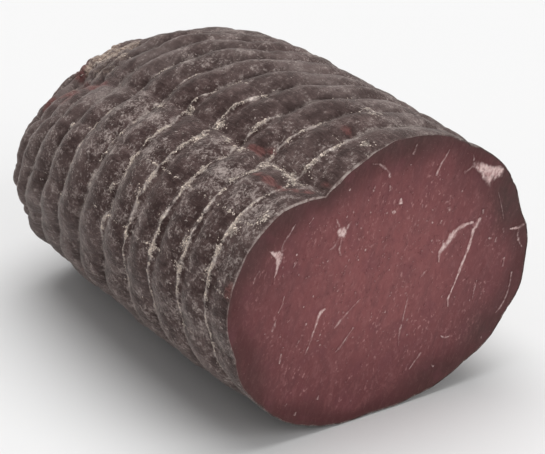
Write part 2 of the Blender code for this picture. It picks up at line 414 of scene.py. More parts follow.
# The rind unrolled flat, so that what is painted on it can be kept as a picture.
unrolled = rind.data.uv_layers.new(name="OFBake")
across = np.repeat(np.arange(count_columns), 4).reshape(count_columns, 4) + [0, 0, 1, 1]
down = np.arange(count_rows - 1)[:, None, None] + np.array([0, 1, 1, 0])
flat_u = np.broadcast_to(across[None] / count_columns, (count_rows - 1, count_columns, 4))
flat_v = np.broadcast_to(down / count_rows, flat_u.shape)
quad_uv = np.stack([flat_u, flat_v], -1).reshape(-1, 2)
fan_u = (np.arange(count_columns)[:, None] + [0, 0.5, 1]) / count_columns
fan_v = np.broadcast_to([(count_rows - 1) / count_rows, 1.0, (count_rows - 1) / count_rows], fan_u.shape)
fan_uv = np.stack([fan_u, fan_v], -1).reshape(-1, 2)
unrolled.uv.foreach_set("vector", np.concatenate([quad_uv, fan_uv]).astype(np.float32).ravel())


def add_step(tree, kind, settings=None, **feeds):
    """Adds one step of a finish; what feeds it is a plain value or another step's output."""
    step = tree.nodes.new(kind)
    for name, value in (settings or {}).items():
        setattr(step, name, value)
    for name, value in feeds.items():
        socket = step.inputs[int(name[1:]) if name[1:].isdigit() else name.replace("_", " ")]
        if isinstance(value, bpy.types.NodeSocket):
            tree.links.new(value, socket)
        else:
            socket.default_value = value
    return step


def worked(how, first, second=0.0, third=0.0):
    """A sum, product or the like of up to three values, the first of them another step's output."""
    step = add_step(first.id_data, "ShaderNodeMath", {"operation": how}, i0=first, i1=second, i2=third)
    return step.outputs[0]


def product(first, second):
    """Two values multiplied."""
    return worked("MULTIPLY", first, second)


def added(value, factor, base):
    """A value times a factor, added to another value."""
    return worked("MULTIPLY_ADD", value, factor, base)


def eased(value, start, end, low_share=0.0, high_share=1.0):
    """A value turned into a share that eases from one share to another between start and end."""
    return add_step(
        value.id_data, "ShaderNodeMapRange", {"interpolation_type": "SMOOTHSTEP"},
        Value=value, From_Min=start, From_Max=end, To_Min=low_share, To_Max=high_share,
    ).outputs["Result"]


def mottle(where, size, detail, rough=0.6, twist=0.0, stretch=(1, 1, 1), turn=(0, 0, 0)):
    """Uneven patches of about the given size in millimetres, stretched along some ways."""
    tree = where.id_data
    placed = add_step(
        tree, "ShaderNodeMapping", {"vector_type": "TEXTURE"}, Vector=where, Rotation=turn, Scale=stretch
    ).outputs[0]
    patches = add_step(
        tree, "ShaderNodeTexNoise", Vector=placed, Scale=1000 / size, Detail=detail, Roughness=rough,
        Distortion=twist,
    ).outputs["Fac"]
    return added(patches, 2.6, -0.8)


def blended(share, under, over):
    """One colour laid over another by a share."""
    step = add_step(share.id_data, "ShaderNodeMix", {"data_type": "RGBA"}, i0=share, i6=under, i7=over)
    return step.outputs[2]


def bumped(height, strength, depth, **under):
    """Fine relief made from a height, its depth in metres, over other relief if there is any."""
    feeds = {"Height": height, "Strength": strength, "Distance": depth, **under}
    return add_step(height.id_data, "ShaderNodeBump", **feeds).outputs[0]


def mark_of(tree, name):
    """A mark that the mesh carries."""
    return add_step(tree, "ShaderNodeAttribute", {"attribute_name": name}).outputs["Fac"]


def new_finish(name):
    """A new finish, with its steps, its surface, and where each point of the piece lies."""
    finish = bpy.data.materials.new(name)
    finish.use_nodes = True
    tree = finish.node_tree
    where = add_step(tree, "ShaderNodeTexCoord").outputs["Object"]
    return finish, tree, tree.nodes["Principled BSDF"], where


def dress(tree, surface, colour, roughness, bump, shine):
    """Gives a surface its colour, its roughness, its fine relief and how much it shines."""
    tree.links.new(colour, surface.inputs["Base Color"])
    tree.links.new(roughness, surface.inputs["Roughness"])
    tree.links.new(bump, surface.inputs["Normal"])
    surface.inputs["Specular IOR Level"].default_value = shine


# The finish of the rind: dark brown dried skin with fine wrinkles and painted shade in its creases, a lacy
# bloom of pale mould with a painted sheen on top, thin cream crusts in the net's marks, spots of bare dark
# red, and tan skin at the far shoulder.
rind_finish, tree, surface, where = new_finish("cured_rind")
broad = mottle(where, 20, 3)
patches = mottle(where, 5.5, 3, 0.6)
lace = mottle(where, 1.9, 5, 0.75, twist=1.0)
fine = mottle(where, 0.8, 4, 0.7)
creased = mottle(where, 1.0, 4, 0.65, twist=0.4, stretch=(1, 5, 1))

brown_level = added(creased, 0.45, product(patches, 0.55))
brown_share = eased(brown_level, 0.20, 0.75)
brown = blended(brown_share, (0.040, 0.021, 0.019, 1), (0.089, 0.054, 0.050, 1))
brown = blended(eased(brown_level, 0.55, 1.0, 0, 0.7), brown, (0.185, 0.132, 0.123, 1))
brown = blended(eased(broad, 0.5, 1.0, 0, 0.35), brown, (0.165, 0.112, 0.104, 1))
# Painted shade: the colour darkens in the creases of the net, less where crust fills them.
painted_crease_shade = added(mark_of(tree, "cream"), -0.9, mark_of(tree, "painted_crease_shade"))
brown = blended(eased(painted_crease_shade, 0.3, 1.0, 0, 0.62), brown, (0.034, 0.019, 0.017, 1))

# The bloom: soft pale patches, fine strands across them, and a thin haze of mould with a painted sheen on
# top and at the far end.
bloom = mark_of(tree, "bloom")
bloom_level = added(lace, 0.60, product(patches, 0.38))
bloom_level = added(fine, 0.25, bloom_level)
bloom_level = added(bloom, 0.33, bloom_level)
bloom_share = eased(bloom_level, 0.77, 1.22)
coat = blended(product(bloom_share, 0.85), brown, (0.455, 0.380, 0.352, 1))

strands = add_step(
    tree, "ShaderNodeTexVoronoi", {"feature": "DISTANCE_TO_EDGE"},
    Vector=add_step(
        tree, "ShaderNodeVectorMath", {"operation": "MULTIPLY_ADD"},
        i0=add_step(tree, "ShaderNodeTexNoise", Vector=where, Scale=420.0, Detail=3.0).outputs["Color"],
        i1=(0.005, 0.005, 0.005), i2=where,
    ).outputs[0],
    Scale=430.0,
).outputs["Distance"]
strand_share = product(eased(strands, 0.17, 0.04), eased(bloom_level, 0.60, 1.1, 0, 0.65))
strand_share = product(strand_share, eased(fine, 0.2, 0.6))
coat = blended(strand_share, coat, (0.48, 0.40, 0.37, 1))
# Painted sheen: a pale lightening on top and at the far end, over a thin haze of mould.
haze_and_sheen_share = product(mark_of(tree, "haze_and_sheen"), eased(patches, 0.0, 0.9, 0.2, 0.5))
coat = blended(haze_and_sheen_share, coat, (0.235, 0.190, 0.178, 1))

# In the net's marks: thin dust on every ring, then crusts and clumps made of small beads.
cream_mark = mark_of(tree, "cream")
ring_reach = added(lace, -0.8, mark_of(tree, "ring_gap"))
ring_reach = added(patches, -1.1, worked("ADD", ring_reach, 0.55))
line_reach = added(lace, -1.3, mark_of(tree, "line_gap"))
thin_dust = product(eased(ring_reach, 0.5, -0.4), eased(patches, 0.1, 0.8, 0.10, 0.45))
coat = blended(thin_dust, coat, (0.40, 0.335, 0.31, 1))
dusted = product(eased(ring_reach, 0.9, -0.3), cream_mark)
dust_breaks = eased(patches, 0.2, 0.8, 0.0, 0.4)
coat = blended(product(dusted, dust_breaks), coat, (0.44, 0.362, 0.33, 1))
crust_breaks = added(patches, 0.9, added(fine, 0.6, cream_mark))
crust_breaks = eased(crust_breaks, 1.04, 1.72)
line_crust = eased(line_reach, -0.2, -0.8, 0, 0.5)
crust = worked("MAXIMUM", eased(ring_reach, 0.38, -0.32), line_crust)
crust = product(crust, crust_breaks)
beads = add_step(tree, "ShaderNodeTexVoronoi", Vector=where, Scale=640.0)
bead_shade = add_step(tree, "ShaderNodeSeparateColor", i0=beads.outputs["Color"]).outputs[0]
bead_share = eased(beads.outputs["Distance"], 0.60, 0.25)
bead_share = product(bead_share, eased(bead_shade, 0.1, 0.5))
beaded = added(bead_share, 0.60, 0.40)
crust = product(crust, beaded)
clump_level = added(lace, 0.7, added(fine, 0.5, mark_of(tree, "clump")))
clump_share = product(eased(clump_level, 1.15, 1.75), beaded)
crust = worked("MAXIMUM", crust, clump_share)
cream_shade = added(bead_shade, 0.5, product(fine, 0.5))
cream = blended(eased(cream_shade, 0.2, 0.8), (0.43, 0.355, 0.33, 1), (0.95, 0.82, 0.75, 1))
cream = blended(product(mark_of(tree, "clump"), 0.5), cream, (0.98, 0.87, 0.72, 1))
coat = blended(crust, coat, cream)

# Tan skin, bare dark red spots, and the lip round the cut.
red_share = added(lace, 0.45, mark_of(tree, "red"))
red_share = eased(red_share, 0.55, 1.0, 0, 0.9)
red = blended(eased(creased, 0.1, 1.0), (0.105, 0.037, 0.034, 1), (0.205, 0.090, 0.082, 1))
tan_share = eased(added(lace, 0.6, mark_of(tree, "tan")), 0.5, 1.1, 0, 0.9)
tan = blended(eased(creased, 0.1, 0.9), (0.19, 0.13, 0.102, 1), (0.66, 0.52, 0.425, 1))
coat = blended(tan_share, coat, tan)
coat = blended(red_share, coat, red)
lip_level = added(lace, 0.6, product(patches, 0.5))
lip_share = eased(lip_level, 0.25, 0.85)
lip_colour = blended(lip_share, (0.15, 0.092, 0.085, 1), (0.54, 0.45, 0.415, 1))
coat = blended(mark_of(tree, "lip"), coat, lip_colour)
surface.inputs["Sheen Weight"].default_value = 0.40
surface.inputs["Sheen Roughness"].default_value = 0.32
surface.inputs["Sheen Tint"].default_value = (0.92, 0.86, 0.80, 1)
grain_height = added(creased, 0.5, product(fine, 0.25))
grain_bump = bumped(grain_height, 0.7, 0.0005)
crust_height = added(bloom_share, 0.5, crust)
crust_bump = bumped(crust_height, 0.8, 0.0003, Normal=grain_bump)
dress(tree, surface, coat, eased(bloom_share, 0.0, 0.7, 0.66, 0.95), crust_bump, 0.15)
rind.data.materials.append(rind_finish)
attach(rind, "root")
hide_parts("bresaola")


# The cut face: dark red cured lean, sliced flat across the roll. It is paler in the middle and has
# dried darker towards the rind, most of all on the right, and lies just behind the lip.

# Drying: angle of a place on the edge, spread in degrees, and how deep it reaches. Dark patches:
# across, up, reach across, reach up, and strength.
DRIED = (
    (-60, 36, 17), (-25, 24, 15), (10, 18, 16), (34, 18, 21), (75, 26, 14), (100, 24, 15),
    (140, 26, 15), (190, 28, 14), (235, 24, 11),
)
DARK = (
    (58, 71, 9, 12, 1.15), (62, 56, 4, 8, 0.5), (10, 106, 36, 8, 0.95), (-52, 82, 11, 9, 0.7),
    (-22, 94, 12, 8, 0.55), (-53, 28, 8, 14, 0.4), (-38, 89, 9, 7, 0.6), (-53, 74, 8, 13, 0.6),
    (46, 21, 9, 9, 0.7), (28, 8, 18, 6, 0.5),
)
LEAST_DRIED = 4.0
rim_reach = np.linalg.norm(cut_edge - middle, axis=-1)
rim_angle = np.degrees(np.arctan2(cut_edge[:, 2] - CUT_MIDDLE, cut_edge[:, 0]))
rim_order = np.argsort(rim_angle)


def from_rim(across, up):
    """How far a place on the cut lies inside its edge."""
    at = np.degrees(np.arctan2(up - CUT_MIDDLE, across))
    rim = np.interp(at, rim_angle[rim_order], rim_reach[rim_order], period=360)
    return rim - np.hypot(across, up - CUT_MIDDLE)


def how_dried(across, up):
    """Nought at the edge of the cut, one where the meat is no longer darkened by drying."""
    at = np.degrees(np.arctan2(up - CUT_MIDDLE, across))
    width = LEAST_DRIED + 0 * at
    for place, spread, reach in DRIED:
        width = np.maximum(width, reach * bell(turn_from(at, place) / spread))
    return from_rim(across, up) / width


steps = np.concatenate([np.linspace(0.02, 0.86, 50), np.linspace(0.875, 1.0, 22)])
face_rows = middle + steps[:, None, None] * (cut_edge - middle)[None]
face_points = np.concatenate([middle[None], face_rows.reshape(-1, 3)])
face_points[:, 1] = low[1] + FACE_BACK
face_index = np.arange(len(steps) * count_columns).reshape(len(steps), count_columns) + 1
face_next = np.roll(face_index, -1, axis=1)
face_quads = np.stack([face_index[:-1], face_next[:-1], face_next[1:], face_index[1:]], -1).reshape(-1, 4)
face_fan = np.stack([np.zeros(count_columns, int), face_next[0], face_index[0]], -1)
inside = from_rim(face_points[:, 0], face_points[:, 2])
sliced = lumps(face_points, (11, 11, 11), 8) * 0.07 + lumps(face_points, (3, 3, 3), 9) * 0.03
face_points[:, 1] += np.clip(inside / 4, 0, 1) * (sliced + 0.05)
cut_lean = make_piece("cut_lean", face_points, face_fan.tolist() + face_quads.tolist())


def mark_cut(mesh, points, fat):
    """Writes onto a piece of the cut how dried it is, how bright the meat is, and where it is fat."""
    across, up = points[:, 0], points[:, 2]
    carry(mesh, "dried", how_dried(across, up))
    heart = np.exp(-(((across - 1) / 46) ** 2 + ((up - 56) / 38) ** 2))
    carry(mesh, "heart", heart)
    dark = 0 * across
    for at_across, at_up, wide, tall, strength in DARK:
        off = ((across - at_across) / wide) ** 2 + ((up - at_up) / tall) ** 2
        dark = np.maximum(dark, strength * np.exp(-off))
    carry(mesh, "dark", dark)
    carry(mesh, "fat", fat)


mark_cut(cut_lean.data, face_points, 0 * inside)
lean_finish, tree, surface, where = new_finish("cured_lean")
GRAIN = (0, -1.15, 0)
fibres = mottle(where, 1.1, 4, 0.6, twist=0.6, stretch=(3, 1, 1), turn=GRAIN)
bundles = mottle(where, 4.0, 3, 0.55, stretch=(3, 1, 1), turn=GRAIN)
clouds = mottle(where, 24, 3, 0.5)
pores = mottle(where, 0.6, 3, 0.7)
rim = added(clouds, 0.35, mark_of(tree, "dried"))
heart_share = eased(mark_of(tree, "heart"), 0.1, 0.95)
lean = blended(heart_share, (0.142, 0.041, 0.044, 1), (0.226, 0.070, 0.071, 1))
lean = blended(eased(rim, 1.25, 0.35), lean, (0.084, 0.0225, 0.0235, 1))
lean = blended(eased(mark_of(tree, "dried"), 0.22, 0.0, 0, 0.5), lean, (0.070, 0.030, 0.027, 1))
lean = blended(product(mark_of(tree, "dark"), 0.8), lean, (0.052, 0.025, 0.022, 1))
lean = blended(eased(fibres, 0.4, 1.2, 0, 0.10), lean, (0.36, 0.17, 0.165, 1))
lean = blended(eased(bundles, 0.65, -0.1, 0, 0.34), lean, (0.10, 0.030, 0.033, 1))
streaks = mottle(where, 1.8, 3, 0.6, twist=0.8, stretch=(2, 1, 1), turn=(0, -1.35, 0))
light_streaks = product(eased(streaks, 0.5, 1.1, 0, 0.30), eased(rim, 0.5, 1.4, 0.2, 1))
lean = blended(light_streaks, lean, (0.31, 0.125, 0.125, 1))
lean = blended(eased(streaks, 0.5, 0.0, 0, 0.25), lean, (0.11, 0.032, 0.036, 1))
patchy = mottle(where, 9, 3, 0.5)
lean = blended(eased(patchy, 0.4, 0.0, 0, 0.3), lean, (0.145, 0.040, 0.050, 1))
lean = blended(eased(pores, 0.8, 1.2, 0, 0.35), lean, (0.40, 0.22, 0.215, 1))
blurs = mottle(where, 1.1, 2, 0.5, stretch=(1.5, 1, 1), turn=GRAIN)
gathered = eased(mottle(where, 12, 3), 0.3, 0.8, 0.15, 0.8)
blur_share = product(eased(blurs, 0.72, 1.15), gathered)
blur_share = product(blur_share, eased(rim, 0.6, 1.6))
lean = blended(blur_share, lean, (0.40, 0.20, 0.195, 1))
torn = mottle(where, 1.0, 4, 0.7, stretch=(2.0, 1, 1), turn=GRAIN)
fat_share = added(torn, 0.35, mark_of(tree, "fat"))
fat_share = eased(fat_share, 0.32, 1.15, 0, 0.97)
fat_colour = blended(eased(torn, 0.1, 0.9), (0.46, 0.27, 0.26, 1), (0.76, 0.58, 0.55, 1))
lean = blended(fat_share, lean, fat_colour)
lean_height = added(fibres, 0.4, product(pores, 0.2))
lean_rough = eased(bundles, 0.0, 1.0, 0.44, 0.60)
dress(tree, surface, lean, lean_rough, bumped(lean_height, 0.18, 0.0002), 0.25)
cut_lean.data.materials.append(lean_finish)
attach(cut_lean, "root")
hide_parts("bresaola")


# Threads, pockets and flecks of fat that run through the meat, each a soft ribbon lying in the cut.
# The seam between two muscles comes first, then fine threads that follow the grain. A point of a
# thread gives across and up, then half the width.
THREADS = (
    (
        (26.4, 53.4, 0.12), (26.5, 55.6, 0.32), (26.7, 56.9, 0.5), (28.4, 59.0, 0.72), (30.6, 60.9, 0.85),
        (32.1, 62.4, 0.8), (33.8, 63.9, 0.65), (36.0, 64.9, 0.5), (38.4, 65.3, 0.4), (41.6, 65.4, 0.3),
    ),
    (
        (44.7, 66.3, 0.3), (43.4, 64.6, 0.7), (42.1, 62.8, 0.6), (41.1, 60.4, 0.42), (40.4, 57.8, 0.4),
        (39.6, 55.4, 0.38), (38.5, 53.1, 0.4), (37.0, 49.9, 0.48), (35.6, 46.8, 0.36), (34.0, 43.2, 0.22),
        (32.2, 39.6, 0.2), (31.1, 37.2, 0.3), (31.2, 34.2, 0.1),
    ),
    ((-42.4, 73.2, 0.8), (-42.9, 70.8, 0.4), (-43.6, 68.2, 0.24), (-44.3, 66.6, 0.1)),
    (
        (-22.8, 48.7, 0.22), (-24.2, 48.2, 0.36), (-25.4, 46.8, 0.42), (-26.8, 43.4, 0.36),
        (-27.8, 40.7, 0.24),
    ),
    ((62.6, 57.6, 0.3), (60.6, 57.9, 0.35), (58.4, 58.2, 0.15)),
    ((8.9, 83.2, 0.15), (8.9, 82.0, 0.4), (8.8, 80.9, 0.6)),
    ((5.4, 78.2, 0.35), (6.6, 78.8, 0.45)),
)
FAINT_THREADS = (
    ((-18.6, 82.4, 0.14), (-18.0, 80.8, 0.3), (-17.2, 78.8, 0.45)),
    ((-12.2, 79.8, 0.12), (-13.4, 78.4, 0.3), (-14.6, 77.2, 0.45)),
    ((-17.2, 75.0, 0.4), (-18.3, 73.2, 0.35), (-19.7, 71.7, 0.34), (-22.0, 71.0, 0.12)),
    ((-16.2, 75.0, 0.4), (-16.6, 72.2, 0.26), (-17.2, 69.8, 0.34), (-16.2, 67.6, 0.12)),
    (
        (-41.1, 75.5, 0.35), (-40.9, 77.6, 0.3), (-39.9, 79.5, 0.36), (-38.1, 81.4, 0.22),
        (-36.7, 83.2, 0.2), (-35.5, 84.8, 0.12),
    ),
    ((-28.0, 85.2, 0.2), (-29.9, 83.3, 0.12)),
    ((-50.1, 70.8, 0.3), (-51.9, 69.2, 0.26), (-52.8, 66.8, 0.14)),
    ((-3.5, 99.3, 0.14), (-0.5, 98.4, 0.26), (1.6, 96.6, 0.36), (3.4, 94.6, 0.4), (4.0, 92.2, 0.26)),
    ((4.0, 89.5, 0.14), (4.2, 87.2, 0.34)),
    ((29.8, 96.8, 0.12), (28.1, 94.3, 0.24), (26.0, 91.7, 0.34), (24.2, 88.0, 0.3)),
    ((15.4, 102.4, 0.2), (14.5, 100.2, 0.32), (13.8, 98.7, 0.4)),
    ((40.4, 92.2, 0.12), (40.8, 89.6, 0.3)),
    ((36.5, 85.9, 0.5), (38.4, 86.7, 0.26), (40.4, 87.6, 0.35)),
    ((65.4, 58.6, 0.3), (63.5, 57.9, 0.55), (61.6, 57.8, 0.5)),
    ((62.6, 57.4, 0.4), (62.2, 54.8, 0.32), (63.2, 51.4, 0.3), (64.6, 49.3, 0.16)),
    ((60.1, 40.4, 0.25), (59.2, 34.7, 0.25), (57.7, 30.5, 0.32), (55.8, 27.5, 0.28), (53.3, 25.3, 0.15)),
    ((-27.8, 40.9, 0.3), (-29.2, 37.4, 0.34), (-30.2, 35.2, 0.24), (-31.3, 33.0, 0.14)),
    ((-43.4, 50.4, 0.16), (-44.2, 48.4, 0.36), (-45.2, 46.0, 0.2)),
    ((-41.3, 36.4, 0.18), (-41.8, 34.2, 0.4), (-42.2, 32.6, 0.16)),
    ((-40.1, 58.4, 0.16), (-41.2, 55.0, 0.24), (-42.6, 52.6, 0.14)),
    ((-25.4, 15.0, 0.16), (-26.0, 13.4, 0.42)),
    ((-39.0, 15.8, 0.14), (-39.8, 15.0, 0.3)),
    ((-35.0, 11.2, 0.14), (-35.9, 10.0, 0.3)),
    ((-7.9, 48.4, 0.12), (-11.8, 45.6, 0.2), (-16.6, 41.9, 0.36), (-18.9, 39.8, 0.14)),
    ((-10.6, 37.8, 0.24), (-13.1, 35.2, 0.16), (-16.4, 31.6, 0.34), (-18.3, 30.2, 0.14)),
    ((13.0, 43.2, 0.12), (11.5, 37.0, 0.18), (10.5, 32.8, 0.16), (9.7, 30.5, 0.3), (9.2, 24.6, 0.12)),
    ((19.6, 18.8, 0.5), (18.4, 17.6, 0.3), (16.8, 16.1, 0.24), (14.2, 13.4, 0.16)),
    ((28.0, 23.2, 0.12), (30.2, 21.9, 0.32), (32.2, 21.8, 0.14)),
    ((44.0, 41.4, 0.14), (42.7, 36.8, 0.24), (42.2, 34.0, 0.12)),
    ((52.4, 74.4, 0.12), (54.5, 66.9, 0.16), (55.3, 63.0, 0.12)),
    ((49.0, 56.8, 0.3), (50.2, 56.8, 0.2)),
    ((52.3, 56.6, 0.4), (51.9, 54.6, 0.3)),
    ((55.2, 59.4, 0.4), (55.6, 57.6, 0.26)),
    ((45.7, 69.3, 0.35), (45.8, 67.6, 0.25)),
    ((30.2, 74.4, 0.5), (30.7, 72.6, 0.35)),
    ((26.3, 68.6, 0.35), (27.2, 69.9, 0.28)),
    ((21.0, 51.8, 0.2), (18.6, 49.9, 0.4)),
    ((-36.4, 68.3, 0.16), (-34.9, 70.3, 0.4)),
    ((56.4, 47.4, 0.16), (55.8, 43.6, 0.3)),
    ((24.2, 12.6, 0.16), (25.3, 11.2, 0.32)),
)

# A pocket is given by its border, and a dot by its place.
POCKETS = (
    (
        (40.4, 87.6), (42.0, 88.9), (44.8, 88.0), (47.1, 86.5), (49.8, 85.3), (52.6, 85.0), (55.0, 83.4),
        (55.0, 81.6), (53.6, 80.6), (51.6, 80.2), (49.6, 79.8), (48.7, 77.9), (47.1, 78.9), (45.6, 81.0),
        (44.3, 83.2), (42.6, 85.4),
    ),
    (
        (-17.6, 78.4), (-15.8, 79.0), (-14.2, 77.6), (-13.9, 75.8), (-14.7, 74.4), (-16.2, 74.2),
        (-17.7, 75.4), (-18.0, 77.2),
    ),
    (
        (-46.0, 77.0), (-44.0, 76.9), (-41.8, 76.4), (-40.7, 74.9), (-41.0, 73.2), (-42.6, 71.8),
        (-43.6, 73.4), (-44.6, 75.1),
    ),
)
DOTS = (
    (-36, 70), (-34, 65), (-31, 63), (-16, 61), (-4, 81), (-10, 78), (-8, 76), (-14, 82), (-5, 86),
    (-3, 89), (-13, 92), (0, 73), (1, 70), (-3, 68), (-35, 73), (-19, 56), (-24, 67), (-22, 67),
    (-9, 64), (-6, 67), (-13, 65), (0, 59), (13, 95), (36, 79), (49, 57), (23, 63), (23, 70), (23, 75),
    (14, 74), (8, 62), (19, 56), (3, 79), (14, 84), (-16, 42), (-32, 52), (-34, 39), (-26, 37),
    (-25, 39), (-25, 35), (-11, 34), (-31, 45), (-28, 55), (5, 46), (3, 40), (13, 28), (41, 34),
    (12, 45), (47, 17),
)
FAT_BACK = 0.27
THREAD_RISE = 0.13
POCKET_RISE = 0.12
thread_points, thread_faces, thread_fat = [], [], []


def lay_thread(points, strength):
    """Lays one thread of fat in the face, thin at its ends and fading out to either side."""
    places = np.array(points, float)
    run = np.append(0, np.cumsum(np.linalg.norm(np.diff(places[:, :2], axis=0), axis=1)))
    at = np.linspace(0, run[-1], max(4, int(run[-1] / 0.4)))
    path = np.stack([through(np.column_stack([run, places]), at, c) for c in (1, 2, 3)], -1)
    ahead = np.gradient(path[:, :2], axis=0)
    ahead /= np.linalg.norm(ahead, axis=1, keepdims=True) + 1e-9
    start = len(thread_points)
    for (x, z, half), (dx, dz) in zip(path, ahead):
        wobble = noise.noise(Vector((x * 0.8, z * 0.8, 3.0)))
        other_wobble = noise.noise(Vector((x * 0.35, z * 0.35, 8.0)))
        half = max(half, 0.08) * (1.0 + 0.4 * wobble + 0.35 * other_wobble)
        for side, fat in ((-2.4, 0), (-1.1, 0.66), (0, 1), (1.1, 0.66), (2.4, 0)):
            shift = side * half + 0.3 * wobble * half
            thread_points.append((x - dz * shift, low[1] + FAT_BACK - THREAD_RISE * fat, z + dx * shift))
            thread_fat.append(fat * strength * (0.95 + 0.35 * other_wobble))
    for i in range(len(path) - 1):
        for j in range(4):
            a = start + i * 5 + j
            thread_faces.append((a, a + 1, a + 6, a + 5))


def lay_pocket(border):
    """Lays one pocket of fat, full in the middle and fading out at its border."""
    rim_points = np.array(border, float)
    heart = rim_points.mean(axis=0)
    start = len(thread_points)
    closed = np.concatenate([rim_points, rim_points[:1]])
    at = np.linspace(0, len(border), len(border) * 5, endpoint=False)
    loop = np.stack([np.interp(at, np.arange(len(closed)), closed[:, c]) for c in (0, 1)], -1)
    thread_points.append((heart[0], low[1] + FAT_BACK - POCKET_RISE, heart[1]))
    thread_fat.append(1.0)
    for share, fat in ((0.35, 1.0), (0.6, 0.92), (0.8, 0.72), (1.0, 0.38), (1.25, 0.0)):
        for x, z in heart + (loop - heart) * share:
            thread_points.append((x, low[1] + FAT_BACK - POCKET_RISE * fat, z))
            thread_fat.append(fat * (0.92 + 0.8 * noise.noise(Vector((x * 0.7, z * 0.45, 9.0)))))
    for j in range(len(loop)):
        k = (j + 1) % len(loop)
        thread_faces.append((start, start + 1 + k, start + 1 + j))
        for ring in range(4):
            a, b = start + 1 + ring * len(loop) + j, start + 1 + ring * len(loop) + k
            thread_faces.append((a, b, b + len(loop), a + len(loop)))


def lay_fleck(x, z, lean_over, length, half, end_share, strength):
    """Lays one short fleck of fat that leans by an angle and is thinner at its ends."""
    dx, dz = np.cos(lean_over) * length, np.sin(lean_over) * length
    ends = half * end_share
    lay_thread(((x - dx, z - dz, ends), (x, z, half), (x + dx, z + dz, ends)), strength)


BRIGHT, FAINT, DOTTED = 0.95, 0.50, 0.55
FINE_FLECKS = 820
for thread in THREADS:
    lay_thread(thread, BRIGHT)
for thread in FAINT_THREADS:
    lay_thread(thread, FAINT)
for border in POCKETS:
    lay_pocket(border)
fleck_rng = np.random.default_rng(23)
for x, z in DOTS:
    lean_over = np.radians(fleck_rng.normal(66, 25))
    length, half = fleck_rng.uniform(0.15, 0.5), fleck_rng.uniform(0.2, 0.42)
    lay_fleck(x, z, lean_over, length, half, 0.5, DOTTED)
for i in range(FINE_FLECKS):
    x, z = fleck_rng.normal(-3, 29), fleck_rng.normal(63, 20)
    lean_over = np.radians(fleck_rng.normal(66, 26))
    length, half = 0.08 + fleck_rng.exponential(0.15), fleck_rng.uniform(0.14, 0.32)
    strength = fleck_rng.uniform(0.15, 0.45)
    if from_rim(x, z) > 4 and how_dried(x, z) > 0.7:
        lay_fleck(x, z, lean_over, length, half, 0.4, strength)

# Nothing of the fat reaches over the lip.
thread_points = np.array(thread_points)
over = np.maximum(0.5 - from_rim(thread_points[:, 0], thread_points[:, 2]), 0)
to_middle = np.array([0.0, CUT_MIDDLE]) - thread_points[:, (0, 2)]
to_middle /= np.linalg.norm(to_middle, axis=1, keepdims=True)
thread_points[:, (0, 2)] += to_middle * over[:, None]
fat_threads = make_piece("fat_threads", thread_points, thread_faces)
mark_cut(fat_threads.data, thread_points, np.array(thread_fat))
fat_threads.data.materials.append(lean_finish)
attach(fat_threads, "root")
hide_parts("bresaola")


# Crumbs of dried cream-coloured crust that the net has left in its marks, thickest along the fold
# and on the rings nearest the cut. Each is a small rough lump stuck to the rind.
CRUMB_CLEARANCE = 0.01
CRUMB_TRIES = 60000
CRUSTED_RINGS = 9
CRUMB_SIZE = 0.28
CLUMP_CRUMB_SIZE = 0.29
CRUMBS_FOR_REACH = 5.0
skin_out = face_out(skin)
skin_row = np.arange(len(skin))


def on_rind(row, at_column):
    """The point of the rind at a place between its rows and columns, and which way it faces."""
    r0 = np.clip(np.floor(row).astype(int), 0, len(skin) - 2)
    c0 = np.floor(at_column).astype(int)
    fr, fc = (row - r0)[:, None], (at_column - c0)[:, None]
    c0, c1 = c0 % count_columns, (c0 + 1) % count_columns
    found = []
    for field in (skin, skin_out):
        upper = field[r0, c0] * (1 - fc) + field[r0, c1] * fc
        lower = field[r0 + 1, c0] * (1 - fc) + field[r0 + 1, c1] * fc
        found.append(upper * (1 - fr) + lower * fr)
    return found


def make_crumbs(name, row, at_column, size, flat, long, seed):
    """Makes one mesh of small rough lumps, each a crooked ring of points with a top and a foot."""
    crumb_rng = np.random.default_rng(seed)
    place, out = on_rind(row, at_column)
    count, sides = len(row), 5
    side = np.cross(out, crumb_rng.normal(size=(count, 3)))
    side /= np.linalg.norm(side, axis=-1, keepdims=True)
    other = np.cross(out, side)
    turn = (np.arange(sides) / sides * 2 * np.pi)[None, :] + crumb_rng.uniform(-0.4, 0.4, (count, sides))
    reach = size[:, None] * crumb_rng.uniform(0.55, 1.35, (count, sides)) * (1, 0.62, 1.2, 0.7, 1)
    ring = side[:, None] * (np.cos(turn) * reach * long)[..., None]
    ring = ring + other[:, None] * (np.sin(turn) * reach)[..., None]
    lift = (size * flat)[:, None, None] * crumb_rng.uniform(0.0, 0.5, (count, sides, 1))
    ring = place[:, None] + ring + out[:, None] * lift
    top = place + out * (size * flat * crumb_rng.uniform(0.7, 1.2, count))[:, None]
    foot = place - out * (size * 0.5)[:, None]
    points = np.concatenate([ring, top[:, None], foot[:, None]], axis=1)
    points = np.clip(points, low + CRUMB_CLEARANCE, high - CRUMB_CLEARANCE)
    first = np.arange(count)[:, None] * (sides + 2)
    faces = []
    for j in range(sides):
        k = (j + 1) % sides
        faces += [np.concatenate([first + j, first + k, first + sides], 1)]
        faces += [np.concatenate([first + k, first + j, first + sides + 1], 1)]
    piece = make_piece(name, points.reshape(-1, 3), np.concatenate(faces).tolist())
    carry(piece.data, "shade", np.repeat(crumb_rng.uniform(0, 1, count), sides + 2))
    return piece


def clumps(row, at_column, size, seed):
    """How thickly crumbs lie at places of the rind, from -1 to 1, in clumps of the given size."""
    return lumps(on_rind(row, at_column)[0], (size, size, size), seed)


def mark_near(name, row, at_column):
    """How strong a mark of the rind is at the mesh's nearest points."""
    near_row = np.clip(np.round(row).astype(int), 0, len(skin) - 1)
    return MARKS[name][near_row, np.round(at_column).astype(int) % count_columns]


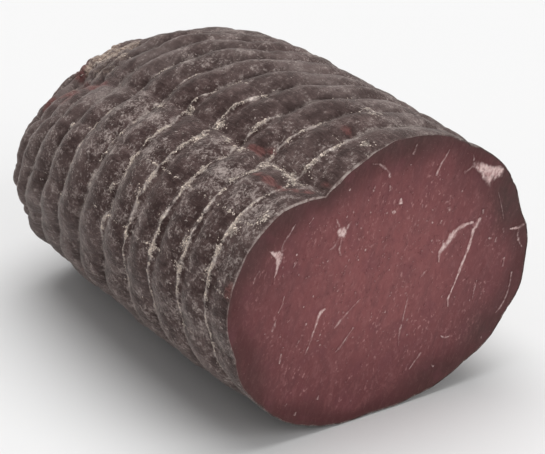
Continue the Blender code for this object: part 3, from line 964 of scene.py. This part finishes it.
crumb_rng = np.random.default_rng(31)
rows_at_share = ring_share[:, 0]
ring_of = crumb_rng.integers(0, CRUSTED_RINGS, CRUMB_TRIES)
columns_tried = crumb_rng.uniform(0, count_columns, CRUMB_TRIES)
strays = crumb_rng.normal(0, 0.024, CRUMB_TRIES)
rows_tried = np.interp(ring_of + strays, rows_at_share, skin_row)
line_of = crumb_rng.integers(0, len(LINES), CRUMB_TRIES // 2)
line_columns = (line_of + crumb_rng.normal(0, 0.02, CRUMB_TRIES // 2)) * PER_LINE
line_rows = crumb_rng.uniform(0, ROWS_TO_RING + PER_RING * (CRUSTED_RINGS - 1), CRUMB_TRIES // 2)
rows_tried = np.concatenate([rows_tried, line_rows])
columns_tried = np.concatenate([columns_tried, line_columns % (count_columns - 0.01)])
thick = mark_near("cream", rows_tried, columns_tried)
wanted = thick * (0.30 + 2.4 * clumps(rows_tried, columns_tried, 3.0, 12))
wanted[CRUMB_TRIES:] *= 0.35
kept = crumb_rng.uniform(0, 1, len(wanted)) < wanted * 0.9
crumb_size = np.clip(crumb_rng.lognormal(np.log(CRUMB_SIZE), 0.4, kept.sum()), 0.12, 0.65)
crumb_size *= 0.5 + 0.5 * thick[kept]
rows_of_crumbs, columns_of_crumbs = [rows_tried[kept]], [columns_tried[kept]]
for clump_way, clump_angle, reach in CLUMPS:
    off = (way - clump_way) ** 2 + turn_from(angle, clump_angle) ** 2
    at_row, at_column = np.unravel_index(off.argmin(), off.shape)
    some = int(CRUMBS_FOR_REACH * reach ** 2)
    rows_of_crumbs.append(at_row + crumb_rng.normal(0, 0.55 * reach, some))
    columns_of_crumbs.append((at_column + crumb_rng.normal(0, 0.45 * reach, some)) % (count_columns - 0.01))
    clump_size = np.clip(crumb_rng.lognormal(np.log(CLUMP_CRUMB_SIZE), 0.35, some), 0.15, 0.6)
    crumb_size = np.append(crumb_size, clump_size)
rows_of_crumbs, columns_of_crumbs = np.concatenate(rows_of_crumbs), np.concatenate(columns_of_crumbs)
rows_of_crumbs = np.clip(rows_of_crumbs, 0, len(skin) - 2)
net_crumbs = make_crumbs("net_crumbs", rows_of_crumbs, columns_of_crumbs, crumb_size, 0.6, 1.2, 41)


def crumb_finish(name, dull, bright, smoothest):
    """A dry crust: each crumb has its own shade between two colours, with a fine grain."""
    finish, tree, surface, where = new_finish(name)
    grain = mottle(where, 0.35, 3, 0.7)
    shade = added(grain, 0.3, added(mark_of(tree, "shade"), 0.9, -0.1))
    roughness = eased(grain, 0.3, 0.7, smoothest, 0.95)
    dress(tree, surface, blended(shade, dull, bright), roughness, bumped(grain, 0.4, 0.0001), 0.2)
    return finish


cream_crust = crumb_finish("cream_crust", (0.38, 0.31, 0.275, 1), (0.94, 0.81, 0.70, 1), 0.75)
net_crumbs.data.materials.append(cream_crust)
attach(net_crumbs, "root")
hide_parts("bresaola")


# Flecks of pale grey mould that has grown on the rind, flat and ragged, scattered over it and
# closest together in the patches of bloom beside the fold.
MOULD_TRIES = 90000
MOULD_RINGS = 12.0
FLECK_SIZE = 0.18
mould_rng = np.random.default_rng(57)
ring_tried = mould_rng.uniform(-AT_THE_CUT, MOULD_RINGS, MOULD_TRIES)
rows_tried = np.interp(ring_tried, rows_at_share, skin_row)
line_tried = mould_rng.uniform(0, len(LINES), MOULD_TRIES)
columns_tried = np.interp(line_tried, np.append(line_share, len(LINES)), np.arange(count_columns + 1))
columns_tried = columns_tried % (count_columns - 0.01)
thick = mark_near("bloom", rows_tried, columns_tried)
wanted = (0.05 + thick) * (0.25 + 1.6 * clumps(rows_tried, columns_tried, 3.6, 14))
kept = mould_rng.uniform(0, 1, MOULD_TRIES) < wanted * 0.18
fleck_size = np.clip(mould_rng.lognormal(np.log(FLECK_SIZE), 0.4, kept.sum()), 0.08, 0.5)
mould_flecks = make_crumbs("mould_flecks", rows_tried[kept], columns_tried[kept], fleck_size, 0.35, 2.6, 43)
pale_mould = crumb_finish("pale_mould", (0.22, 0.18, 0.165, 1), (0.60, 0.51, 0.47, 1), 0.8)
mould_flecks.data.materials.append(pale_mould)
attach(mould_flecks, "root")
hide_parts("bresaola")


# The studio: a plain pale table under broad soft light from above and a weaker one from the front
# right, and the camera where the photograph was taken from.
table_mesh = bpy.data.meshes.new("table")
table_mesh.from_pydata([(-6, -6, 0), (6, -6, 0), (6, 8, 0), (-6, 8, 0)], [], [(0, 1, 2, 3)])
table = bpy.data.objects.new("table", table_mesh)
bpy.context.scene.collection.objects.link(table)
paper = bpy.data.materials.new("pale_paper")
paper.use_nodes = True
surface = paper.node_tree.nodes["Principled BSDF"]
surface.inputs["Base Color"].default_value = (0.79, 0.79, 0.79, 1)
surface.inputs["Roughness"].default_value = 0.9
surface.inputs["Specular IOR Level"].default_value = 0.1
table_mesh.materials.append(paper)

world = bpy.data.worlds.new("soft_room")
world.use_nodes = True
glow = world.node_tree.nodes["Background"]
glow.inputs["Color"].default_value = (1.0, 1.0, 1.0, 1)
glow.inputs["Strength"].default_value = 0.40
bpy.context.scene.world = world


def hang_lamp(name, comes_from, spread, strength):
    """Hangs one broad soft light that comes from a direction."""
    lamp = bpy.data.lights.new(name, "SUN")
    lamp.angle = np.radians(spread)
    lamp.energy = strength
    hung = bpy.data.objects.new(name, lamp)
    hung.rotation_euler = Vector(comes_from).to_track_quat("Z", "Y").to_euler()
    bpy.context.scene.collection.objects.link(hung)


hang_lamp("top_softbox", (0.15, 0.2, 1.0), 55, 2.25)
hang_lamp("front_softbox", (0.45, -1.0, 0.5), 45, 0.8)

AZIMUTH, ELEVATION, DISTANCE = np.radians(-33.5), np.radians(25.5), 0.892
aim = Vector((-0.0451, low[1] / 1000, 0.0863))
back = Vector((
    np.sin(AZIMUTH) * np.cos(ELEVATION), -np.cos(AZIMUTH) * np.cos(ELEVATION), np.sin(ELEVATION),
))
lens = bpy.data.cameras.new("camera")
lens.sensor_width = 36.0
lens.lens = 173.8
lens.dof.use_dof = False
camera = bpy.data.objects.new("camera", lens)
camera.location = aim + back * DISTANCE
camera.rotation_euler = back.to_track_quat("Z", "Y").to_euler()
bpy.context.scene.collection.objects.link(camera)
bpy.context.scene.camera = camera
bpy.context.scene.view_settings.view_transform = "Standard"
